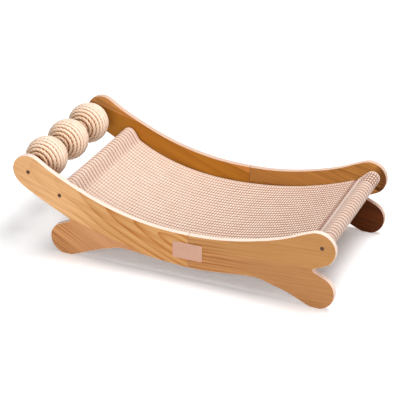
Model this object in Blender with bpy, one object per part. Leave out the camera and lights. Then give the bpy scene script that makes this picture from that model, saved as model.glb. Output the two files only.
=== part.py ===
"""Cat scratcher bed: two wooden side boards carry a sagging mat of woven sisal
between two round rails, and three rope-wound balls spin on an axle at the head.

Metres, +Z up. X runs from the head end to the foot end, Y from the near board
to the far board. The origin is on the floor under the middle of the whole bed,
from the balls, which overhang the boards, to the tips of the foot legs.
"""

import math

import bmesh
import bpy
from mathutils import Matrix, Vector
from mathutils.geometry import interpolate_bezier

# Overall sizes
BOARD_LENGTH = 0.721
HEAD_TIP_X = -0.3560
FOOT_TIP_X = HEAD_TIP_X + BOARD_LENGTH
CLEAR_WIDTH = 0.333
BOARD_THICKNESS = 0.012
OUTER_FACE = CLEAR_WIDTH / 2 + BOARD_THICKNESS
INNER_FACE = CLEAR_WIDTH / 2
SIDES = {"near": -1.0, "far": 1.0}
GAP = 0.0003
OVERSHOOT = 0.001

# Side board outline: the radii and centres (x, z) of its round ends
ARM_RADIUS = 0.0380
HEAD_LEG_RADIUS = 0.0373
FOOT_LEG_RADIUS = 0.0382
NOTCH_RADIUS = 0.0040
HEAD_ARM = (HEAD_TIP_X + ARM_RADIUS, 0.1784)
FOOT_ARM = (0.3264, 0.1331)
HEAD_LEG = (-0.2346, 0.0356)
FOOT_LEG = (FOOT_TIP_X - FOOT_LEG_RADIUS, 0.0371)
HEAD_NOTCH = (-0.2286, 0.0836)
FOOT_NOTCH = (0.3229, 0.0852)
EDGE_ROUND = 0.0015
EDGE_STEPS = 2
SEAM_X = 0.0494

# Where the outline meets and leaves each round end, as angles in degrees about its centre
TIP_ANGLE = 178.0
HEAD_ARM_END = 54.8
FOOT_ARM_ARC = (112.5, -65.0)
FOOT_NOTCH_ARC = (115.5, 241.5)
FOOT_LEG_ARC = (64.0, -109.0)
HEAD_LEG_ARC = (-67.5, -241.0)
HEAD_NOTCH_ARC = (-61.0, 63.0)

# Free stretches of the outline: (x, z, heading in degrees) where each one ends
TOP_EDGE = ((-0.2045, 0.1596, -24.9), (-0.0871, 0.1197, -12.7), (0.0599, 0.1066, 1.0),
            (0.1999, 0.1264, 14.5), (0.2899, 0.1590, 27.3))
BELLY_EDGE = ((0.2474, 0.0280, 168.4), (0.1899, 0.0410, 182.8), (0.0479, 0.0299, 177.7),
              (-0.0931, 0.0414, 174.6), (-0.1496, 0.0296, 195.8))
ARM_UNDERSIDE = (-0.2926, 0.1197, 147.3)
ARC_STEP = 11.0
FREE_STEPS = 4
BEZIER_EASE = 0.35

# Rails and the ball axle, each at (x, z), running across the bed
HEAD_RAIL = (-0.2465, 0.1373)
FOOT_RAIL = (0.3356, 0.1385)
BALL_AXLE = (-0.3191, 0.1782)
RAIL_RADIUS = 0.0125
AXLE_RADIUS = 0.0050
ROD_LENGTH = CLEAR_WIDTH - 2 * GAP
ROD_CHAMFER = 0.0008
RAIL_SIDES = 24
AXLE_SIDES = 16

# Countersunk socket screws and the brass inserts that they enter
SCREW_LENGTH = 0.0250
SCREW_RADIUS = 0.0025
SCREW_HEAD_RADIUS = 0.0043
SCREW_SOCKET = 0.0030
SOCKET_DEPTH = 0.0015
SCREW_CLEARANCE = 0.00045
HOLE_RADIUS = SCREW_RADIUS + SCREW_CLEARANCE
TAPPED_DEPTH = 0.0180
INSERT_RADIUS = 0.0040
INSERT_LENGTH = 0.0140
SCREW_SIDES = 16
INSERT_SIDES = 12

# Dowels that hold the two halves of a board together
DOWEL_RADIUS = 0.0030
DOWEL_LENGTH = 0.0400
DOWEL_HEIGHTS = {"lower": 0.0520, "upper": 0.0880}
DOWEL_SIDES = 12

# Bare patch over the near board's seam
PATCH_X = (0.0149, 0.0799)
PATCH_Z = (0.0500, 0.0865)
PATCH_THICKNESS = 0.0020
PATCH_CORNER = 0.0030
PATCH_CORNER_STEPS = 4
PATCH_ROUND = 0.0004

# Woven mat: a pocket round each rail, sewn shut where it tapers, then a hem under the mat.
# Pull is the direction, in degrees, in which the mat leaves a rail; taper is half the
# angle between the pocket's two layers.
MAT_WIDTH = 0.3230
MAT_THICKNESS = 0.0030
POCKET_RADIUS = RAIL_RADIUS + 0.0004
HEAD_PULL = -30.0
HEAD_TAPER = 28.5
FOOT_PULL = 202.6
FOOT_TAPER = 21.0
HEM_LENGTH = 0.0120
SAG_REACH_HEAD = 0.1500
SAG_REACH_FOOT = 0.1850
SAG_STEPS = 22
POCKET_STEP = 16.0

# Rope-wound balls: the rope runs from pole to pole. ROPE_START is how far off the axle,
# in degrees, it starts.
BALL_OFFSETS = {"ball_near": -0.0977, "ball_middle": 0.0, "ball_far": 0.0977}
BALL_RADIUS = 0.0462
ROPE_RADIUS = 0.0040
ROPE_PATH_RADIUS = BALL_RADIUS - ROPE_RADIUS
ROPE_START = 16.5
ROPE_TURNS = 12
ROPE_POINTS_PER_TURN = 16
CORE_RADIUS = 0.0370
CORE_SIDES = 20
CORE_STEPS = 10
HUB_RADIUS = 0.0072
BORE_RADIUS = 0.0054
SPACER_RADIUS = 0.0080
SPACER_SIDES = 14
MIDDLE_SPACER = 0.0061
HUB_HALF_LENGTH = (BALL_OFFSETS["ball_far"] - MIDDLE_SPACER) / 2 - GAP

# Colours (linear RGB), roughness and metallic value
FINISHES = {
    "wood": ((0.61, 0.31, 0.13), 0.50, 0.0),
    "rail_wood": ((0.66, 0.42, 0.22), 0.55, 0.0),
    "sisal_mat": ((0.62, 0.42, 0.30), 0.90, 0.0),
    "sisal_rope": ((0.74, 0.56, 0.37), 0.90, 0.0),
    "ball_core": ((0.42, 0.30, 0.18), 0.80, 0.0),
    "patch": ((0.65, 0.38, 0.27), 0.65, 0.0),
    "screw_steel": ((0.06, 0.045, 0.04), 0.40, 0.9),
    "axle_steel": ((0.62, 0.62, 0.60), 0.30, 1.0),
    "brass": ((0.62, 0.44, 0.17), 0.35, 1.0),
    "spacer_nylon": ((0.72, 0.64, 0.52), 0.60, 0.0),
}


def clear_scene():
    for piece in list(bpy.data.objects):
        bpy.data.objects.remove(piece, do_unlink=True)


def make_materials():
    materials = {}
    for name, (colour, roughness, metallic) in FINISHES.items():
        material = bpy.data.materials.new(name)
        material.use_nodes = True
        shader = material.node_tree.nodes["Principled BSDF"]
        shader.inputs["Base Color"].default_value = (*colour, 1.0)
        shader.inputs["Roughness"].default_value = roughness
        shader.inputs["Metallic"].default_value = metallic
        materials[name] = material
    return materials


def add_piece(name, data, finish, parent=None):
    """Put a mesh or a curve in the scene as one named piece."""
    data.materials.append(MATERIALS[finish])
    piece = bpy.data.objects.new(name, data)
    piece.parent = parent
    bpy.context.collection.objects.link(piece)
    return piece


def finished_mesh(name, bm, smooth_angle=35.0):
    """Turn a bmesh into a mesh whose faces point out and whose round sides are smooth."""
    bmesh.ops.recalc_face_normals(bm, faces=bm.faces)
    mesh = bpy.data.meshes.new(name)
    bm.to_mesh(mesh)
    bm.free()
    mesh.shade_smooth()
    mesh.set_sharp_from_angle(angle=math.radians(smooth_angle))
    return mesh


def cutter_from(name, bm):
    """A guide body that only cuts: it isn't a piece of the bed."""
    cutter = bpy.data.objects.new(name, finished_mesh(name, bm))
    cutter.hide_render = True
    cutter.display_type = "WIRE"
    bpy.context.collection.objects.link(cutter)
    return cutter


def cut(piece, cutter):
    hole = piece.modifiers.new("cut " + cutter.name, "BOOLEAN")
    hole.operation = "DIFFERENCE"
    hole.solver = "EXACT"
    hole.object = cutter


def direction(degrees):
    return Vector((math.cos(math.radians(degrees)), math.sin(math.radians(degrees))))


def turned(profile, segments, closed=False):
    """Spin a profile of (radius, place along Y) round the Y axis into a bmesh."""
    bm = bmesh.new()
    corners = [bm.verts.new((radius, along, 0.0)) for radius, along in profile]
    ends = corners[1:] + corners[:1] if closed else corners[1:]
    edges = [bm.edges.new(pair) for pair in zip(corners, ends)]
    bmesh.ops.spin(bm, geom=corners + edges, cent=(0.0, 0.0, 0.0), axis=(0.0, 1.0, 0.0),
                   angle=math.tau, steps=segments, use_merge=True)
    bmesh.ops.remove_doubles(bm, verts=bm.verts, dist=1e-6)
    return bm


def together(shapes):
    """One mesh of several shapes that stay apart, for a cutter of several holes."""
    group = bmesh.new()
    for bm in shapes:
        shape = bpy.data.meshes.new("shape")
        bm.to_mesh(shape)
        bm.free()
        group.from_mesh(shape)
        bpy.data.meshes.remove(shape)
    return group


def moved(bm, x, z, y=0.0):
    """Move a shape, made at the middle of the bed, to its place."""
    bmesh.ops.translate(bm, verts=bm.verts, vec=(x, y, z))
    return bm


class Pen:
    """Draws a flat outline of (x, z) points and knows which way it is heading."""

    def __init__(self):
        self.points = []
        self.heading = 0.0

    def arc(self, centre, radius, start, end, step=ARC_STEP):
        """Run round a circle between two angles; a straight line leads to its start."""
        count = max(1, math.ceil(abs(end - start) / step))
        for number in range(count + 1):
            angle = start + (end - start) * number / count
            self.points.append(Vector(centre) + radius * direction(angle))
        self.heading = end + math.copysign(90.0, end - start)

    def curve_to(self, x, z, heading, steps=FREE_STEPS):
        """Run along a smooth curve to a point, and arrive there on a heading."""
        begin, finish = self.points[-1], Vector((x, z))
        reach = BEZIER_EASE * (finish - begin).length
        leaving = begin + reach * direction(self.heading)
        arriving = finish - reach * direction(heading)
        curve = interpolate_bezier(begin, leaving, arriving, finish, steps + 1)
        self.points.extend(point.to_2d() for point in curve[1:])
        self.heading = heading


def floor_angle(centre, radius):
    """How far round from straight down a leg's circle meets the floor."""
    return math.degrees(math.acos(centre[1] / radius))


def board_outline():
    """Clockwise round a side board: head arm, top edge, foot end, belly, head leg."""
    foot_flat = floor_angle(FOOT_LEG, FOOT_LEG_RADIUS)
    head_flat = floor_angle(HEAD_LEG, HEAD_LEG_RADIUS)
    down = -90.0
    pen = Pen()
    pen.arc(HEAD_ARM, ARM_RADIUS, TIP_ANGLE, HEAD_ARM_END)
    for x, z, heading in TOP_EDGE:
        pen.curve_to(x, z, heading)
    pen.arc(FOOT_ARM, ARM_RADIUS, *FOOT_ARM_ARC)
    pen.arc(FOOT_NOTCH, NOTCH_RADIUS, *FOOT_NOTCH_ARC, step=2 * ARC_STEP)
    pen.arc(FOOT_LEG, FOOT_LEG_RADIUS, FOOT_LEG_ARC[0], down + foot_flat)
    pen.arc(FOOT_LEG, FOOT_LEG_RADIUS, down - foot_flat, FOOT_LEG_ARC[1])
    for x, z, heading in BELLY_EDGE:
        pen.curve_to(x, z, heading)
    pen.arc(HEAD_LEG, HEAD_LEG_RADIUS, HEAD_LEG_ARC[0], down + head_flat)
    pen.arc(HEAD_LEG, HEAD_LEG_RADIUS, down - head_flat, HEAD_LEG_ARC[1])
    pen.arc(HEAD_NOTCH, NOTCH_RADIUS, *HEAD_NOTCH_ARC, step=2 * ARC_STEP)
    pen.points.append(Vector(ARM_UNDERSIDE[:2]))
    pen.heading = ARM_UNDERSIDE[2]
    tip = pen.points[0]
    pen.curve_to(tip.x, tip.y, TIP_ANGLE + down)
    return pen.points[:-1]


def board_half(side, keep_head):
    """Half of a side board: the whole outline, rounded, then sawn at the seam."""
    bm = bmesh.new()
    corners = [bm.verts.new((p.x, side * OUTER_FACE, p.y)) for p in board_outline()]
    face = bm.faces.new(corners)
    inner = bmesh.ops.extrude_face_region(bm, geom=[face])["geom"]
    inner = [corner for corner in inner if isinstance(corner, bmesh.types.BMVert)]
    bmesh.ops.translate(bm, verts=inner, vec=(0.0, -side * BOARD_THICKNESS, 0.0))
    bmesh.ops.recalc_face_normals(bm, faces=bm.faces)
    flat_faces = [face for face in bm.faces if len(face.verts) > 4]
    rims = [edge for face in flat_faces for edge in face.edges]
    bmesh.ops.bevel(bm, geom=rims, offset=EDGE_ROUND, segments=EDGE_STEPS, profile=0.5,
                    affect="EDGES", clamp_overlap=True)
    away = -1.0 if keep_head else 1.0
    everything = bm.verts[:] + bm.edges[:] + bm.faces[:]
    sawn = bmesh.ops.bisect_plane(bm, geom=everything, dist=1e-7,
                                  plane_co=(SEAM_X + away * GAP / 2, 0.0, 0.0),
                                  plane_no=(-away, 0.0, 0.0), clear_outer=True)
    rim = [edge for edge in sawn["geom_cut"] if isinstance(edge, bmesh.types.BMEdge)]
    bmesh.ops.contextual_create(bm, geom=rim)
    return bm


def screw_hole(side):
    """Cutter for a countersunk hole through a board, from outside inwards."""
    mouth = SCREW_HEAD_RADIUS + SCREW_CLEARANCE
    cone_end = GAP + mouth - HOLE_RADIUS
    through = BOARD_THICKNESS + OVERSHOOT
    profile = ((0.0, -OVERSHOOT), (mouth, -OVERSHOOT), (mouth, GAP), (HOLE_RADIUS, cone_end),
               (HOLE_RADIUS, through), (0.0, through))
    return turned([(ring, side * (OUTER_FACE - depth)) for ring, depth in profile], SCREW_SIDES)


def make_boards():
    """Four board halves, with their screw holes, and the dowels that join them."""
    screw_places = {"head": (BALL_AXLE, HEAD_RAIL), "foot": (FOOT_RAIL,)}
    for name, side in SIDES.items():
        middle = side * (OUTER_FACE + INNER_FACE) / 2
        bores = [moved(rod_along_x(DOWEL_RADIUS + GAP, DOWEL_LENGTH + 2 * GAP),
                       SEAM_X, height, middle) for height in DOWEL_HEIGHTS.values()]
        bore_cutter = cutter_from(name + "_dowel_bores", together(bores))
        for half, places in screw_places.items():
            shape = finished_mesh("board half", board_half(side, keep_head=half == "head"))
            board = add_piece(f"{name}_board_{half}_half", shape, "wood")
            holes = [moved(screw_hole(side), *place) for place in places]
            cut(board, cutter_from(f"{name}_{half}_screw_holes", together(holes)))
            cut(board, bore_cutter)
        for height_name, height in DOWEL_HEIGHTS.items():
            dowel = moved(rod_along_x(DOWEL_RADIUS, DOWEL_LENGTH), SEAM_X, height, middle)
            dowel_name = f"{name}_{height_name}_dowel"
            add_piece(dowel_name, finished_mesh(dowel_name, dowel), "rail_wood")


def rod_along_x(radius, length):
    bm = bmesh.new()
    bmesh.ops.create_cone(bm, cap_ends=True, segments=DOWEL_SIDES, radius1=radius,
                          radius2=radius, depth=length,
                          matrix=Matrix.Rotation(math.pi / 2, 4, "Y"))
    return bm


def rod_with_end_holes(radius, hole_radius, hole_depth, segments):
    """A chamfered rod across the bed with a blind hole in each end."""
    end = ROD_LENGTH / 2
    one_end = ((0.0, end - hole_depth), (hole_radius, end - hole_depth), (hole_radius, end),
               (radius - ROD_CHAMFER, end), (radius, end - ROD_CHAMFER))
    other_end = [(ring, -along) for ring, along in reversed(one_end)]
    return turned([*one_end, *other_end], segments)


def make_rods():
    """The two wooden rails, their brass inserts, and the steel ball axle."""
    insert_hole = INSERT_RADIUS + SCREW_CLEARANCE
    middle = (ROD_LENGTH - INSERT_LENGTH) / 2
    for name, place in (("head_rail", HEAD_RAIL), ("foot_rail", FOOT_RAIL)):
        rail = rod_with_end_holes(RAIL_RADIUS, insert_hole, TAPPED_DEPTH, RAIL_SIDES)
        add_piece(name, finished_mesh(name, moved(rail, *place)), "rail_wood")
        for side_name, side in SIDES.items():
            insert = tube_along_y(INSERT_RADIUS, HOLE_RADIUS, INSERT_LENGTH, INSERT_SIDES)
            insert_name = f"{name}_{side_name}_insert"
            insert_mesh = finished_mesh(insert_name, moved(insert, *place, side * middle))
            add_piece(insert_name, insert_mesh, "brass")
    axle = rod_with_end_holes(AXLE_RADIUS, HOLE_RADIUS, TAPPED_DEPTH, AXLE_SIDES)
    add_piece("ball_axle", finished_mesh("ball_axle", moved(axle, *BALL_AXLE)), "axle_steel")


def tube_along_y(outer, inner, length, segments):
    half = length / 2
    profile = ((outer, half), (outer, -half), (inner, -half), (inner, half))
    return turned(profile, segments, closed=True)


def socket_cutter(side):
    """A hexagonal bar that reaches into a screw's head."""
    corner = SCREW_SOCKET / 2 / math.cos(math.radians(30))
    bar = bmesh.new()
    bmesh.ops.create_cone(bar, cap_ends=True, segments=6, radius1=corner, radius2=corner,
                          depth=2 * SOCKET_DEPTH, matrix=Matrix.Rotation(math.pi / 2, 4, "X"))
    return moved(bar, 0.0, 0.0, side * (OUTER_FACE - GAP))


def make_screws():
    """Three screws a side, each turned, with a socket cut out of its head."""
    cone_end = GAP + SCREW_HEAD_RADIUS - SCREW_RADIUS
    profile = ((0.0, GAP), (SCREW_HEAD_RADIUS, GAP), (SCREW_RADIUS, cone_end),
               (SCREW_RADIUS, SCREW_LENGTH - ROD_CHAMFER),
               (SCREW_RADIUS - ROD_CHAMFER, SCREW_LENGTH), (0.0, SCREW_LENGTH))
    places = {"axle_screw": BALL_AXLE, "head_rail_screw": HEAD_RAIL, "foot_rail_screw": FOOT_RAIL}
    for side_name, side in SIDES.items():
        side_profile = [(ring, side * (OUTER_FACE - depth)) for ring, depth in profile]
        for screw_name, place in places.items():
            name = f"{side_name}_{screw_name}"
            screw = moved(turned(side_profile, SCREW_SIDES), *place)
            piece = add_piece(name, finished_mesh(name, screw), "screw_steel")
            socket = moved(socket_cutter(side), *place)
            cut(piece, cutter_from(name + "_socket", socket))


def make_patch():
    """The bare rounded patch on the near board, over its seam."""
    bm = bmesh.new()
    width, height = PATCH_X[1] - PATCH_X[0], PATCH_Z[1] - PATCH_Z[0]
    centre = Vector((sum(PATCH_X) / 2, -OUTER_FACE - GAP, sum(PATCH_Z) / 2))
    place = Matrix.Translation(centre) @ Matrix.Rotation(math.pi / 2, 4, "X")
    bmesh.ops.create_grid(bm, x_segments=1, y_segments=1, size=0.5,
                          matrix=place @ Matrix.Diagonal((width, height, 1.0, 1.0)))
    bmesh.ops.bevel(bm, geom=bm.verts[:], offset=PATCH_CORNER, segments=PATCH_CORNER_STEPS,
                    profile=0.5, affect="VERTICES")
    back = bm.faces[:]
    front = bmesh.ops.extrude_face_region(bm, geom=back)["geom"]
    front_corners = [corner for corner in front if isinstance(corner, bmesh.types.BMVert)]
    bmesh.ops.translate(bm, verts=front_corners, vec=(0.0, -PATCH_THICKNESS, 0.0))
    front_faces = [face for face in front if isinstance(face, bmesh.types.BMFace)]
    rim = [edge for face in front_faces for edge in face.edges]
    bmesh.ops.bevel(bm, geom=rim, offset=PATCH_ROUND, segments=1, affect="EDGES")
    add_piece("seam_patch", finished_mesh("patch", bm), "patch")


class Pocket:
    """One end of the mat: cloth that leaves its rail along the line of its pull."""

    def __init__(self, rail, pull, taper):
        self.rail = Vector(rail)
        self.pull = pull
        self.taper = taper
        self.along = direction(pull)
        self.up = direction(pull + math.copysign(90.0, self.along.x))
        outer = POCKET_RADIUS + MAT_THICKNESS
        slope = math.radians(taper)
        self.groove_distance = (outer / math.cos(slope) - MAT_THICKNESS) / math.tan(slope)

    def groove(self, offset):
        """Where the two layers meet, at an offset above the layers' middle."""
        return self.rail + self.groove_distance * self.along + offset * self.up

    def hem_end(self, offset):
        return self.groove(offset) + HEM_LENGTH * self.along

    def hole(self):
        """The pocket's bore: round the rail, then tapering to where the layers meet."""
        pen = Pen()
        opening = 90.0 - self.taper
        corner_radius = POCKET_RADIUS / math.cos(math.radians(POCKET_STEP / 2))
        pen.arc(self.rail, corner_radius, self.pull + opening, self.pull + 360.0 - opening,
                POCKET_STEP)
        tip = POCKET_RADIUS / math.sin(math.radians(self.taper))
        pen.points.append(self.rail + tip * self.along)
        return pen.points


def sag_curve(head, foot):
    """The sheet's underside between the two hems, as points with their upward normals."""
    begin, finish = head.hem_end(0.0), foot.hem_end(0.0)
    handles = begin + SAG_REACH_HEAD * head.along, finish + SAG_REACH_FOOT * foot.along
    curve = interpolate_bezier(begin, *handles, finish, SAG_STEPS + 1)
    points = [point.to_2d() for point in curve]
    normals = []
    for number in range(len(points)):
        before, after = points[max(number - 1, 0)], points[min(number + 1, SAG_STEPS)]
        forward = (after - before).normalized()
        normals.append(Vector((-forward.y, forward.x)))
    normals[0], normals[-1] = head.up, foot.up
    return points, normals


def mat_outline(head, foot):
    """Clockwise: round the head rail, along the top, round the foot rail, back below."""
    outer = POCKET_RADIUS + MAT_THICKNESS
    points, normals = sag_curve(head, foot)
    pen = Pen()
    opening = 90.0 - head.taper
    pen.arc(head.rail, outer, head.pull - opening + 360.0, head.pull + opening, POCKET_STEP)
    pen.points.append(head.groove(MAT_THICKNESS))
    pen.points.extend(point + MAT_THICKNESS * normal for point, normal in zip(points, normals))
    pen.points.append(foot.groove(MAT_THICKNESS))
    opening = 90.0 - foot.taper
    pen.arc(foot.rail, outer, foot.pull - opening, foot.pull + opening - 360.0, POCKET_STEP)
    pen.points.extend((foot.groove(-MAT_THICKNESS), foot.hem_end(-MAT_THICKNESS)))
    pen.points.extend(reversed(points))
    pen.points.extend((head.hem_end(-MAT_THICKNESS), head.groove(-MAT_THICKNESS)))
    return pen.points


def make_mat():
    """A flat curve with two holes, extruded across the bed into the sewn mat."""
    head = Pocket(HEAD_RAIL, HEAD_PULL, HEAD_TAPER)
    foot = Pocket(FOOT_RAIL, FOOT_PULL, FOOT_TAPER)
    curve = bpy.data.curves.new("sisal_mat", "CURVE")
    curve.dimensions = "2D"
    curve.fill_mode = "BOTH"
    curve.extrude = MAT_WIDTH / 2
    for outline in (mat_outline(head, foot), head.hole(), foot.hole()):
        spline = curve.splines.new("POLY")
        spline.points.add(len(outline) - 1)
        for corner, point in zip(spline.points, outline):
            corner.co = (point.x, point.y, 0.0, 1.0)
        spline.use_cyclic_u = True
    mat = add_piece("sisal_mat", curve, "sisal_mat")
    mat.rotation_euler = (math.pi / 2, 0.0, 0.0)


def rope_route():
    """Centre line of a ball's rope: latitude turns from one pole to the other."""
    count = ROPE_TURNS * ROPE_POINTS_PER_TURN
    route = []
    for number in range(count + 1):
        share = number / count
        polar = math.radians(ROPE_START + (180.0 - 2 * ROPE_START) * share)
        turn = math.tau * ROPE_TURNS * share
        ring = ROPE_PATH_RADIUS * math.sin(polar)
        route.append(Vector((ring * math.cos(turn), -ROPE_PATH_RADIUS * math.cos(polar),
                             ring * math.sin(turn))))
    return route


def least_rope_gap(route):
    """Smallest clear distance between one turn and the next, measured on points."""
    nearest = math.inf
    for number, point in enumerate(route):
        first = number + ROPE_POINTS_PER_TURN // 2
        for other in route[first:first + ROPE_POINTS_PER_TURN + 1]:
            nearest = min(nearest, (other - point).length)
    return nearest - 2 * ROPE_RADIUS


def core_profile():
    """A ball core with a hub at each pole and a bore: (radius, place along Y)."""
    hub_angle = math.degrees(math.asin(HUB_RADIUS / CORE_RADIUS))
    profile = [(HUB_RADIUS, HUB_HALF_LENGTH)]
    for number in range(CORE_STEPS + 1):
        ring = direction(90.0 - hub_angle - (180.0 - 2 * hub_angle) * number / CORE_STEPS)
        profile.append((CORE_RADIUS * ring.x, CORE_RADIUS * ring.y))
    profile.append((HUB_RADIUS, -HUB_HALF_LENGTH))
    return [*profile, (BORE_RADIUS, -HUB_HALF_LENGTH), (BORE_RADIUS, HUB_HALF_LENGTH)]


def make_balls():
    """Three balls, each a core and its rope, parented to a pivot on the axle."""
    route = rope_route()
    print(f"rope: {ROPE_TURNS} turns, least gap {least_rope_gap(route) * 1000:.2f} mm")
    for name, offset in BALL_OFFSETS.items():
        pivot = bpy.data.objects.new(name + "_pivot", None)
        pivot.location = (BALL_AXLE[0], offset, BALL_AXLE[1])
        bpy.context.collection.objects.link(pivot)
        core = turned(core_profile(), CORE_SIDES, closed=True)
        add_piece(name + "_core", finished_mesh("core", core), "ball_core", pivot)
        curve = bpy.data.curves.new(name + "_rope", "CURVE")
        curve.dimensions = "3D"
        curve.bevel_depth = ROPE_RADIUS
        curve.bevel_resolution = 1
        curve.use_fill_caps = True
        spline = curve.splines.new("POLY")
        spline.points.add(len(route) - 1)
        for corner, point in zip(spline.points, route):
            corner.co = (*point, 1.0)
        add_piece(name + "_rope", curve, "sisal_rope", pivot)


def make_spacers():
    """Sleeves on the axle that keep the balls apart and off the boards."""
    hub_end = BALL_OFFSETS["ball_far"] + HUB_HALF_LENGTH
    end_length = INNER_FACE - hub_end - 2 * GAP
    end_middle = (INNER_FACE + hub_end) / 2
    gap_middle = BALL_OFFSETS["ball_far"] / 2
    spacers = (("near_end_spacer", end_length, -end_middle),
               ("near_middle_spacer", MIDDLE_SPACER - 2 * GAP, -gap_middle),
               ("far_middle_spacer", MIDDLE_SPACER - 2 * GAP, gap_middle),
               ("far_end_spacer", end_length, end_middle))
    for name, length, y in spacers:
        sleeve = tube_along_y(SPACER_RADIUS, BORE_RADIUS, length, SPACER_SIDES)
        add_piece(name, finished_mesh(name, moved(sleeve, *BALL_AXLE, y)), "spacer_nylon")


clear_scene()
MATERIALS = make_materials()
make_boards()
make_rods()
make_screws()
make_patch()
make_mat()
make_spacers()
make_balls()
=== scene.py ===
# %% [markdown]
# # A cat scratcher bed, dressed for its portrait
#
# The construction of this bed is already settled: two wooden side boards, two
# rails, a sewn mat and three balls on an axle. This lesson loads that frame and
# gives each piece its real surface: boards with rounded edges and visible
# growth rings, a mat with a woven relief, and balls wound with twisted rope.
#
# Everything is in metres, +Z is up, X runs from the ball end (the head) to the
# foot end, and the board with the small patch is the near one, at -Y.

# %% Load the frame and measure it
from math import copysign, cos, hypot, pi, radians, sin, tan

import bmesh
import bpy
import numpy as np
from mathutils import Euler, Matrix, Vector
from mathutils.geometry import interpolate_bezier


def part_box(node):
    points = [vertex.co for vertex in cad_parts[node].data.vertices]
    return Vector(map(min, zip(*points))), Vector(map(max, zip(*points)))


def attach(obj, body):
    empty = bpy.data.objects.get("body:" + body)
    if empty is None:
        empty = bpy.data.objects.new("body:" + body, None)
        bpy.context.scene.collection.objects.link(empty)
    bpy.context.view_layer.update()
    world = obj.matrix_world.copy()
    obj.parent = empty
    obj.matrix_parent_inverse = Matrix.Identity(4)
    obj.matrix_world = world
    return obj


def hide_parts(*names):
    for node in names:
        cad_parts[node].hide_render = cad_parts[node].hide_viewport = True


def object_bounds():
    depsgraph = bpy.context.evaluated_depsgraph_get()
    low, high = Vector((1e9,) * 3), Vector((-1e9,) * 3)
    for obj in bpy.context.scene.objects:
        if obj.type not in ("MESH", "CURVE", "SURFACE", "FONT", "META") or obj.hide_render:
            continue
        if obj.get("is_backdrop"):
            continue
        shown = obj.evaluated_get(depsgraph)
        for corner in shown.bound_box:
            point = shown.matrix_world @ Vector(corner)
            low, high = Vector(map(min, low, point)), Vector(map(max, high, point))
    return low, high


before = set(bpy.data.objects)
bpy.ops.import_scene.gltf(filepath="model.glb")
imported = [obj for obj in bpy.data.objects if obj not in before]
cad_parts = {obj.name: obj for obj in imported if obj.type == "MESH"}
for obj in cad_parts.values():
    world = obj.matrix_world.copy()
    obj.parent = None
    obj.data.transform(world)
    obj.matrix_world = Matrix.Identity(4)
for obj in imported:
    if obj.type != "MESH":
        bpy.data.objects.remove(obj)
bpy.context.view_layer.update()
MM = 0.001

# %% [markdown]
# ## The camera
#
# The portrait is taken from the front right and from above, with a long lens:
# the far board is drawn nearly as large as the near one. The place and the
# turn of the camera follow from the edges of the two equal boards.

# %% Place the camera
CAMERA_PLACE = (1.0561, -2.4572, 1.4793)
CAMERA_TILT = 27.41
CAMERA_TURN = 23.28
LENS_MM = 125.5

bpy.ops.object.camera_add(
    location=CAMERA_PLACE,
    rotation=(radians(90 - CAMERA_TILT), 0.0, radians(CAMERA_TURN)))
camera = bpy.context.object
camera.name = "portrait_camera"
camera.data.lens = LENS_MM
bpy.context.scene.camera = camera
print("camera:", round(camera.location.length, 2), "m from the bed, lens", LENS_MM, "mm")

# %% [markdown]
# ## Colours and nodes
#
# Colours are written as sRGB hex codes, as a paint shop would give them, and one
# function turns them into the linear values that the shader works with. Another
# adds any node with its inputs and settings, so a material reads like a recipe.

# %% Colour and node helpers
MIX_FROM, MIX_TO = 6, 7


def linear(code):
    """An sRGB hex code as linear RGBA, by the formula of the sRGB standard."""
    shares = [int(code[place:place + 2], 16) / 255 for place in (1, 3, 5)]
    return (*(s / 12.92 if s <= 0.04045 else ((s + 0.055) / 1.055) ** 2.4 for s in shares), 1.0)


def feed(node, inputs):
    """Give a node its inputs, by name or in their order: values, hex codes, sockets to
    link, or nodes, which stand for their first output in use."""
    for name, value in inputs.items() if isinstance(inputs, dict) else enumerate(inputs):
        if isinstance(value, bpy.types.Node):
            value = next(socket for socket in value.outputs if socket.enabled)
        if isinstance(value, bpy.types.NodeSocket):
            node.id_data.links.new(value, node.inputs[name])
        else:
            node.inputs[name].default_value = linear(value) if isinstance(value, str) else value
    return node


def add_node(tree, kind, inputs=None, **settings):
    """Add a node to a tree, with its inputs and its settings."""
    node = tree.nodes.new(kind)
    for name, value in settings.items():
        setattr(node, name, value)
    return feed(node, inputs or {})


def new_material(name, roughness, metallic=0.0):
    """A material, its own way to add nodes, its shader and the object's coordinates."""
    material = bpy.data.materials.new(name)
    material.use_nodes = True
    tree = material.node_tree

    def add(kind, inputs=None, **settings):
        return add_node(tree, kind, inputs, **settings)

    shader = feed(tree.nodes["Principled BSDF"], {"Roughness": roughness, "Metallic": metallic})
    return material, add, shader, add("ShaderNodeTexCoord").outputs["Object"]


print("sRGB #808080 is", round(linear("#808080")[0], 3), "in linear light")

# %% [markdown]
# ## Uneven colour
#
# No natural surface has one flat colour, so most finishes below drift between two
# tones in a soft noise. It has features of a real width, and can be drawn out
# along an axis like the fibres of wood. Fibres finer than the portrait can show
# are drawn as coarse as they need to be, one to two millimetres.


# %% Two tones in a noise
def stretched_noise(add, place, width, stretch=(1.0, 1.0, 1.0), detail=3.0):
    """Noise with features of a width in metres, drawn out where stretch is below 1."""
    drawn = add("ShaderNodeMapping", {"Vector": place, "Scale": stretch})
    return add("ShaderNodeTexNoise", {"Vector": drawn, "Scale": 1 / width, "Detail": detail})


def two_tone(add, shader, place, light, dark, width, stretch=(1.0, 1.0, 1.0)):
    """Let a shader's colour drift between two tones. Gives the noise that does it."""
    drift = stretched_noise(add, place, width, stretch)
    colour = add("ShaderNodeMix", {0: drift, MIX_FROM: light, MIX_TO: dark}, data_type="RGBA")
    feed(shader, {"Base Color": colour})
    return drift


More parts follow.
